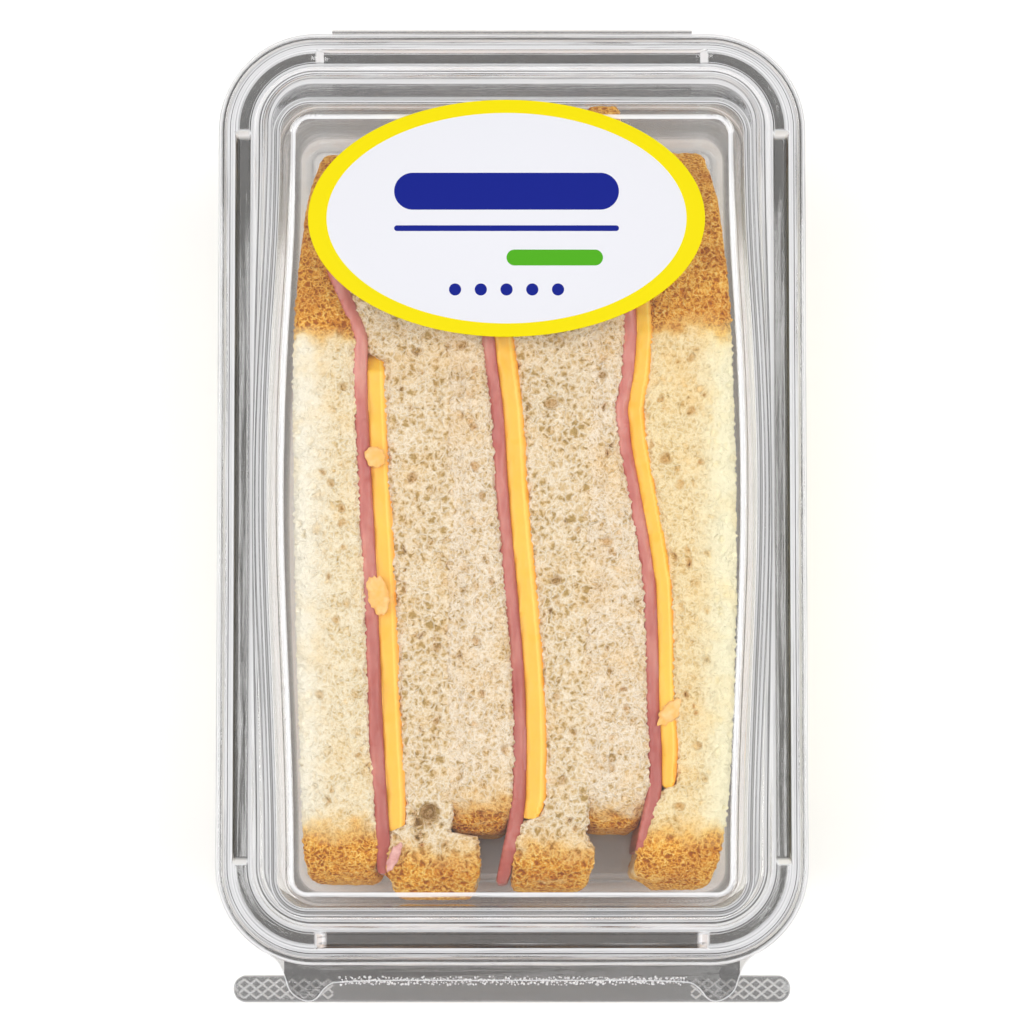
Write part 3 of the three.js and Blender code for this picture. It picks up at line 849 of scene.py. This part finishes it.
def closeFlanks(piece, edges):
    # widens the slice so that no hollow is left beside the end of a filling
    flanks = flankFinder(piece)
    for vertex in piece.data.vertices:
        y = vertex.co.y / mm
        for side, start, end, edge, slope in edges:
            share = ease(start - 1, start + 0.5, y) * ease(end + 0.3, end - 0.5, y)
            if not share:
                continue
            target = (edge + slope * (y - (end if end < 0 else start))) * mm
            low, high = flanks(vertex.co.y)
            if side > 0:
                moved = low + (vertex.co.x - low) * (max(target, high) - low) / (high - low)
            else:
                moved = high - (high - vertex.co.x) * (high - min(target, low)) / (high - low)
            vertex.co.x += share * (moved - vertex.co.x)


def crustShare(cut, place, up, rough, edgeNoise):
    # 1 where the slice is crust: round its outline, and on top at its front end and past the shoulder
    y, z = place.yz
    around = 1 - ease(*crumb["crustEdge"], outlineDepth(cut, y, z) + 0.9 * edgeNoise)
    front = 1 - ease(*crumb["bandBlur"], y - cut["front"] - cut["band"] + 1.2 * edgeNoise + 0.5 * rough)
    shoulder = ease(*crumb["shoulderBlur"], y - cut["shoulder"] + 2 * edgeNoise + 0.5 * rough)
    cap = max(up, ease(cut["top"] - crumb["capDepth"], cut["top"] - 1, z))
    return max(around, cap * max(front, shoulder))


def makeSlice(number, material):
    cut = slices[number]
    node = "bread_%d" % (number + 1)
    piece = ownCopy(node, "slice_%d" % (number + 1), crumb["voxel"])
    closeFlanks(piece, cut.get("edges", ()))
    rim = (cut["top"] - 2.5) * mm
    refined(piece, lambda face: face.normal.z > 0.3 or face.center.z > rim, crumb["cuts"], 3)
    flanks = flankFinder(piece)
    seamSide, seamTop = cut["seam"]
    rng = random.Random(crumb["seed"] + number)
    cells = seededCells(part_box(node), crumb["cell"], crumb["stretch"], rng)
    tree = kdtree.KDTree(len(cells))
    for index, (place, depth) in enumerate(cells):
        tree.insert(place, index)
    tree.balance()
    normals = [vertex.normal.copy() for vertex in piece.data.vertices]
    pits, crusts, paintedGlows = [], [], []
    for vertex, normal in zip(piece.data.vertices, normals):
        place = vertex.co / mm
        x, y, z = place
        up = ease(0.25, 0.65, normal.z)
        rough = noise.fractal(place * 0.9, 1, 2, 3)
        edgeNoise = noise.noise(Vector((x, y, z + 20 * number)) * 0.45)
        crust = crustShare(cut, place, up, rough, edgeNoise)
        # small cells and a few large pores, both shallower in the crust
        warp = crumb["warp"] * noise.noise_vector(Vector((x, y, number)) * 1.1)
        nearest, second = tree.find_n(Vector((x + warp.x, (y + warp.y) * crumb["stretch"], 0)), 2)
        inCell = ease(0, crumb["wall"], second[2] - nearest[2])
        pit = cells[nearest[1]][1] * inCell * (0.35 + 0.65 * ease(0.85, 0.1, nearest[2])) * up
        for poreX, poreY, radius, depth in cut["pores"]:
            away = math.hypot(x - poreX + 0.5 * edgeNoise, y - poreY + 0.4 * rough) / radius
            if away < 1:
                pit = max(pit, depth * ease(1, 0.2, away) * up)
        pit *= 1 - 0.55 * crust
        strands = noise.noise(Vector((x * 1.9, y * 1.3, z)))
        lift = crumb["fuzz"] * rough + 0.1 * noise.noise(place * 2.3) + 0.2 * crust * strands
        vertex.co += normal * (lift - pit + crumb["swell"] * (1 - up)) * mm
        # the rims are frayed, and drawn together along a seam
        rimShare = ease(cut["top"] - crumb["rimDepth"], cut["top"] - 1, z)
        side = ease(0.15, 0.7, abs(normal.x)) * math.copysign(1, normal.x)
        wisps = noise.fractal(Vector((y * 1.7, z, number * 9 + side)), 1, 2, 3)
        out = crumb["rimSwell"] + crumb["fray"] * wisps
        meeting = ease(*crumb["seamFrom"], y)
        if seamSide:
            low, high = flanks(vertex.co.y)
            toSeam = (high - vertex.co.x if seamSide > 0 else vertex.co.x - low) / mm
            vertex.co.z += (seamTop - cut["top"]) * ease(2.6, 0, toSeam) * rimShare * meeting * mm
        if side * seamSide > 0:
            out += crumb["seamSwell"] * meeting
        vertex.co.x += out * side * rimShare * mm
        pits.append(min(pit, crumb["deepest"]))
        crusts.append(crust)
        # painted light: the end slices' crumb brightens towards their outer edge
        most, inner, outer = crumb["paintedGlow"]
        paintedGlows.append(most * ease(inner, outer, abs(x)))
    for name, values in (("pit", pits), ("crust", crusts), ("paintedGlow", paintedGlows)):
        writeAttribute(piece, name, values)
    finishPiece(piece, material, "tray_body", "bread", node)


# crumb colours run from a cell's wall to its floor, darker with depth: painted shade in the cells
# outer is the cream of the painted glow towards the end slices' outer edge
breadFinish = {"stops": ((0, (1.0, 0.92, 0.79)), (0.2, (0.95, 0.83, 0.65)), (0.5, (0.85, 0.68, 0.44)),
                         (0.8, (0.72, 0.52, 0.27)), (1, (0.52, 0.35, 0.12))),
               "toast": ((0, (1.0, 0.75, 0.28)), (0.18, (0.97, 0.55, 0.09)), (0.42, (0.8, 0.32, 0.02)),
                         (0.85, (0.42, 0.11, 0.0))),
               "golden": (1.0, 0.79, 0.42), "shade": (0.8, 0.68, 0.58),
               "roughness": 0.85, "specular": 0.15,
               "open": {"cell": 1.3, "small": 0.55, "share": 1.15, "pitShadeInCrust": 0.8,
                        "tint": (0.99, 0.95, 0.89), "outer": (1, 0.93, 0.76)},
               "close": {"cell": 0.95, "small": 0.45, "share": 0.9, "pitShadeInCrust": 1.1,
                         "tint": (1, 0.96, 0.93), "outer": (1, 0.93, 0.76)},
               "fine": {"cell": 0.9, "small": 0.42, "share": 0.72, "pitShadeInCrust": 1.4,
                        "tint": (0.99, 0.97, 0.87), "outer": (1, 0.94, 0.78)},
               "warm": {"cell": 0.95, "small": 0.42, "share": 0.72, "pitShadeInCrust": 1.3,
                        "tint": (1, 0.92, 0.68), "outer": (1, 0.94, 0.66)}}


def cellNode(tree, size, warp):
    # how far it is to the wall of a cell, for cells of a size in millimetres with walls bent by noise
    place = tree.nodes.new("ShaderNodeTexCoord")
    bend = tree.nodes.new("ShaderNodeTexNoise")
    bend.inputs["Scale"].default_value = 0.9 / mm
    bend.inputs["Detail"].default_value = 2
    tree.links.new(place.outputs["Object"], bend.inputs["Vector"])
    moved = tree.nodes.new("ShaderNodeVectorMath")
    moved.operation = "MULTIPLY_ADD"
    moved.inputs[1].default_value = (warp * mm,) * 3
    tree.links.new(bend.outputs["Color"], moved.inputs[0])
    tree.links.new(place.outputs["Object"], moved.inputs[2])
    cells = tree.nodes.new("ShaderNodeTexVoronoi")
    cells.feature = "DISTANCE_TO_EDGE"
    cells.inputs["Scale"].default_value = 1 / (size * mm)
    tree.links.new(moved.outputs["Vector"], cells.inputs["Vector"])
    return cells.outputs["Distance"]


def breadMaterial(name):
    kind = breadFinish[name]
    material, tree, base = newMaterial("%sCrumb" % name)
    fibre = noiseNode(tree, 1900, 3, 0.65)
    patch = noiseNode(tree, 160, 3, 0.55)
    blotch = noiseNode(tree, 420, 2, 0.5)
    # large cells, more marked in some places than in others, and small ones
    hole = mathNode("MULTIPLY", mathNode("MULTIPLY", cellNode(tree, kind["cell"], 1.7), blotch), 3.8)
    hole = mathNode("MULTIPLY_ADD", cellNode(tree, kind["small"], 0.5), 0.9, hole)
    hole = mathNode("MULTIPLY", hole, kind["share"])
    # painted shade: the deeper a place lies in a cell or pore, the darker its colour
    shadedDepth = mathNode("MULTIPLY_ADD", attributeNode(tree, "pit"), 0.45, hole)
    grain = rampNode(fibre, ((0.32, (0.88, 0.84, 0.76)), (0.55, 1)))
    colour = mixNode(0.7, rampNode(shadedDepth, breadFinish["stops"]), grain, "MULTIPLY")
    colour = mixNode(1, colour, kind["tint"], "MULTIPLY")
    # painted glow: mixes towards the cream outer colour at the end slices' outer edge
    colour = mixNode(attributeNode(tree, "paintedGlow"), colour, kind["outer"])
    # the crust is also darker in its cells, as painted shade, besides its random toasting
    toastAndShadeDepth = mathNode("MULTIPLY_ADD", mathNode("SUBTRACT", fibre, 0.45), 0.9,
                          mathNode("MULTIPLY", shadedDepth, kind["pitShadeInCrust"]))
    shaded = rampNode(patch, ((0.34, breadFinish["shade"]), (0.6, 1)))
    toasted = mixNode(1, rampNode(toastAndShadeDepth, breadFinish["toast"]), shaded, "MULTIPLY")
    # golden first and then toasted towards the crust
    spread = mathNode("MULTIPLY_ADD", mathNode("SUBTRACT", patch, 0.5), 0.7, attributeNode(tree, "crust"))
    gilt = mixNode(1, colour, breadFinish["golden"], "MULTIPLY")
    colour = mixNode(rampNode(spread, ((0, 0), (0.4, 1))), colour, gilt)
    colour = mixNode(rampNode(spread, ((0.22, 0), (0.75, 1))), colour, toasted)
    height = mathNode("SUBTRACT", mathNode("MULTIPLY", fibre, 0.5), hole)
    setSurface(base, colour, breadFinish["roughness"], bumpNode(height, 0.9, 0.3 * mm))
    base.inputs["Specular IOR Level"].default_value = breadFinish["specular"]
    return material


# ham and cheese

sheets = {"voxel": 0.5 * mm, "swell": 0.22, "fineFrom": 44 * mm, "thinnest": 0.5 * mm}


def makeSheet(kind, number, material):
    node = "%s_%d" % (kind, number)
    piece = ownCopy(node, "%s_sheet_%d" % (kind, number), sheets["voxel"])
    refined(piece, lambda face: face.center.z > sheets["fineFrom"] and face.normal.z > -0.5, 1, 2)
    lows, highs = flankTable(piece)
    normals = [vertex.normal.copy() for vertex in piece.data.vertices]
    across = []
    for vertex, normal in zip(piece.data.vertices, normals):
        x, y, z = vertex.co / mm
        place = round(y)
        across.append((vertex.co.x - lows[place]) / max(highs[place] - lows[place], sheets["thinnest"]))
        wave = noise.noise(Vector((y * 0.16, z * 0.05, number * 7 + len(kind))))
        small = noise.noise(Vector((x * 0.8, y * 0.55, z * 0.8)))
        up = ease(0.3, 0.8, normal.z)
        vertex.co += normal * (sheets["swell"] * (1 - up) + 0.05 * small) * mm
        vertex.co.z += up * (0.35 * wave + 0.1 * small) * mm
    writeAttribute(piece, "across", across)
    finishPiece(piece, material, "tray_body", kind, node)


# rim light and shade runs from the left flank's 0 to the right flank's 1: painted shade in dark lines where a
# sheet meets its neighbours and a painted highlight along one edge; ends run from the front end to the back

hamFinish = {"meat": ((0.32, (0.52, 0.12, 0.1)), (0.5, (0.62, 0.21, 0.17)), (0.72, (0.74, 0.35, 0.27))),
             "rimLightAndShade": ((0, (0.55, 0.3, 0.28)), (0.14, (1.12, 1.1, 1.1)), (0.4, 1), (0.85, 1),
                      (1, (0.75, 0.5, 0.45))),
             "ends": ((0.1, (0.78, 0.56, 0.52)), (0.45, (0.9, 0.76, 0.72)), (0.72, (1.04, 1.06, 1.06))),
             "roughness": 0.38, "subsurface": (0.25, (1.0, 0.35, 0.25), 1.2 * mm)}


def hamMaterial():
    material, tree, base = newMaterial("hamMeat")
    streak = noiseNode(tree, 120, 4, 0.6, (2.2, 0.6, 1))
    grain = noiseNode(tree, 900, 3, 0.6)
    # painted light: a dark line of painted shade at each flank and a painted highlight near the left flank
    rimLightAndShade = rampNode(attributeNode(tree, "across"), hamFinish["rimLightAndShade"])
    colour = mixNode(0.8, rampNode(streak, hamFinish["meat"]), rimLightAndShade, "MULTIPLY")
    along = mathNode("MULTIPLY_ADD", objectAxes(tree)["Y"], 10, 0.25)
    along = mathNode("MULTIPLY_ADD", streak, 0.5, along)
    colour = mixNode(1, colour, rampNode(along, hamFinish["ends"]), "MULTIPLY")
    setSurface(base, colour, hamFinish["roughness"], bumpNode(grain, 0.15, 0.2 * mm))
    setSubsurface(base, *hamFinish["subsurface"])
    return material


# the cheese's rim colours are painted light: painted shade at both flanks and a painted highlight stripe
# towards the right edge
cheeseFinish = {"rimLightAndShade": ((0, (1.0, 0.34, 0.0)), (0.12, (1.0, 0.54, 0.03)), (0.66, (1.0, 0.54, 0.03)),
                         (0.74, (1.0, 0.72, 0.12)), (0.84, (1.0, 0.54, 0.03)), (0.93, (1.0, 0.34, 0.0))),
                "tone": ((0.35, (1, 0.47, 0.02)), (0.65, (1, 0.62, 0.05))),
                "roughness": 0.42, "subsurface": (0.2, (1.0, 0.6, 0.2), 1.5 * mm)}


def cheeseMaterial():
    material, tree, base = newMaterial("cheeseSlice")
    tone = rampNode(noiseNode(tree, 90, 3, 0.5), cheeseFinish["tone"])
    grain = noiseNode(tree, 700, 2, 0.5)
    # painted shade at the flanks and a painted highlight stripe, by place across the sheet
    rimLightAndShade = rampNode(attributeNode(tree, "across"), cheeseFinish["rimLightAndShade"])
    colour = mixNode(0.35, rimLightAndShade, tone)
    setSurface(base, colour, cheeseFinish["roughness"], bumpNode(grain, 0.1, 0.2 * mm))
    setSubsurface(base, *cheeseFinish["subsurface"])
    return material


# torn bits of the fillings on the cut faces, as (kind, x, y, half width, half length, turn)

scraps = {"thick": 0.45 * mm, "low": 51.7 * mm, "roughness": 0.4,
          "ham": ((0.35, (0.66, 0.27, 0.24)), (0.65, (0.82, 0.46, 0.4))),
          "cheese": ((0.35, (1.0, 0.5, 0.09)), (0.65, (1.0, 0.6, 0.22))),
          "bits": (("cheese", -21.4, 7.4, 1.5, 1.7, 20), ("cheese", -20.9, -14.4, 1.6, 3.1, 12),
                   ("cheese", 24.7, -32.6, 1.2, 2.6, -42), ("ham", -18.4, -55.2, 0.8, 2.4, -24))}


def makeScraps():
    materials = {kind: scrapMaterial(kind) for kind in ("ham", "cheese")}
    counts = {"ham": 0, "cheese": 0}
    for kind, x, y, halfX, halfY, turn in scraps["bits"]:
        counts[kind] += 1
        bpy.ops.object.select_all(action="DESELECT")
        bpy.ops.mesh.primitive_ico_sphere_add(subdivisions=4, radius=1, location=(0, 0, 0))
        bit = sized("%s_scrap_%d" % (kind, counts[kind]), (halfX * mm, halfY * mm, scraps["thick"]))
        for vertex in bit.data.vertices:
            spot = vertex.co / mm
            torn = 1 + 0.28 * noise.noise(Vector((spot.x, spot.y, x)) * 1.3) + 0.1 * noise.noise(spot * 3)
            vertex.co.x *= torn
            vertex.co.y *= torn
            vertex.co.z += 0.25 * mm * noise.noise(Vector((spot.x * 0.7, spot.y * 0.7, y)))
        bit.rotation_euler = (0, 0, math.radians(turn))
        bit.location = (x * mm, y * mm, scraps["low"])
        settle()
        finishPiece(bit, materials[kind], "tray_body", kind)


def scrapMaterial(kind):
    material, tree, base = newMaterial("%sScrap" % kind)
    colour = rampNode(noiseNode(tree, 700, 3), scraps[kind])
    setSurface(base, colour, scraps["roughness"], bumpNode(noiseNode(tree, 1100, 3), 0.3, 0.2 * mm))
    return material


# label: a yellow border round a white field with plain shapes

labelSize = {"halfWidth": 30.9 * mm, "halfHeight": 18.6 * mm, "x": -0.85 * mm, "y": 43.9 * mm,
             "low": 60.43 * mm, "thick": 0.17 * mm, "bevel": 0.05 * mm,
             "fieldX": 28.0 * mm, "fieldY": 16.5 * mm}
labelFinish = {"yellow": (0.78, 0.65, 0.0), "white": (0.71, 0.71, 0.75), "blue": (0.004, 0.012, 0.22),
               "green": (0.07, 0.36, 0.01), "roughness": 0.6, "specular": 0.12,
               "bars": ((0, 4.2, 17.5, 2.9, "blue"), (0, -1.6, 17.5, 0.45, "blue"),
                        (7.5, -6.2, 7.5, 1.25, "green")),
               "dots": (-8, -4, 0, 4, 8), "dotsY": -11.2, "dotRadius": 0.95}


def labelMaterial():
    material, tree, base = newMaterial("labelPrint")
    axes = objectAxes(tree)
    x = mathNode("SUBTRACT", axes["X"], labelSize["x"])
    y = mathNode("SUBTRACT", axes["Y"], labelSize["y"])

    def squareSum(acrossX, acrossY):
        return mathNode("ADD", mathNode("POWER", acrossX, 2), mathNode("POWER", acrossY, 2))

    def ovalShare(halfX, halfY):
        square = squareSum(mathNode("DIVIDE", x, halfX), mathNode("DIVIDE", y, halfY))
        return mathNode("LESS_THAN", square, 1)

    def barShare(midX, midY, halfX, halfY):
        # a bar with round ends
        away = mathNode("ABSOLUTE", mathNode("SUBTRACT", x, midX))
        overX = mathNode("MAXIMUM", mathNode("SUBTRACT", away, halfX - halfY), 0)
        square = squareSum(overX, mathNode("SUBTRACT", y, midY))
        return mathNode("LESS_THAN", square, halfY ** 2)

    field = ovalShare(labelSize["fieldX"], labelSize["fieldY"])
    colour = mixNode(field, labelFinish["yellow"], labelFinish["white"])
    radius = labelFinish["dotRadius"]
    dots = [(middle, labelFinish["dotsY"], radius, radius, "blue") for middle in labelFinish["dots"]]
    for *bar, ink in (*labelFinish["bars"], *dots):
        colour = mixNode(barShare(*(size * mm for size in bar)), colour, labelFinish[ink])
    paper = bumpNode(noiseNode(tree, 2500, 2), 0.04, 0.1 * mm)
    setSurface(base, colour, labelFinish["roughness"], paper)
    base.inputs["Specular IOR Level"].default_value = labelFinish["specular"]
    return material


def makeLabel():
    bpy.ops.object.select_all(action="DESELECT")
    middle = labelSize["low"] + labelSize["thick"] / 2
    bpy.ops.mesh.primitive_cylinder_add(vertices=128, radius=1, depth=labelSize["thick"],
                                        location=(labelSize["x"], labelSize["y"], middle))
    label = sized("label_paper_oval", (labelSize["halfWidth"], labelSize["halfHeight"], 1))
    selectFaces(label, lambda face: face.normal.z > 0.9)
    bpy.ops.mesh.bevel(offset=labelSize["bevel"], segments=2)
    doneEditing()
    finishPiece(label, labelMaterial(), "lid_body", "label_paper", "label")


addCamera()
addStudio()
trayClear, lidClear = clearSheet("tray"), clearSheet("lid")
finishPiece(lightPassing(writeFlow(makeTray())), trayClear, "tray_body", "clear_plastic", "tray")
finishPiece(lightPassing(writeFlow(makeLid())), lidClear, "lid_body", "clear_plastic", "lid")
print("shells ready")
# without a seed of its own, noise_vector follows the clock
noise.seed_set(crumb["seed"])
crumbs = {kind: breadMaterial(kind) for kind in ("fine", "open", "close", "warm")}
for number, kind in enumerate(("fine", "open", "close", "open", "close", "warm")):
    makeSlice(number, crumbs[kind])
print("bread ready")
meat, cheese = hamMaterial(), cheeseMaterial()
for number in (1, 2, 3):
    makeSheet("ham", number, meat)
    makeSheet("cheese", number, cheese)
makeScraps()
print("ham and cheese ready")
makeLabel()
print("label ready")
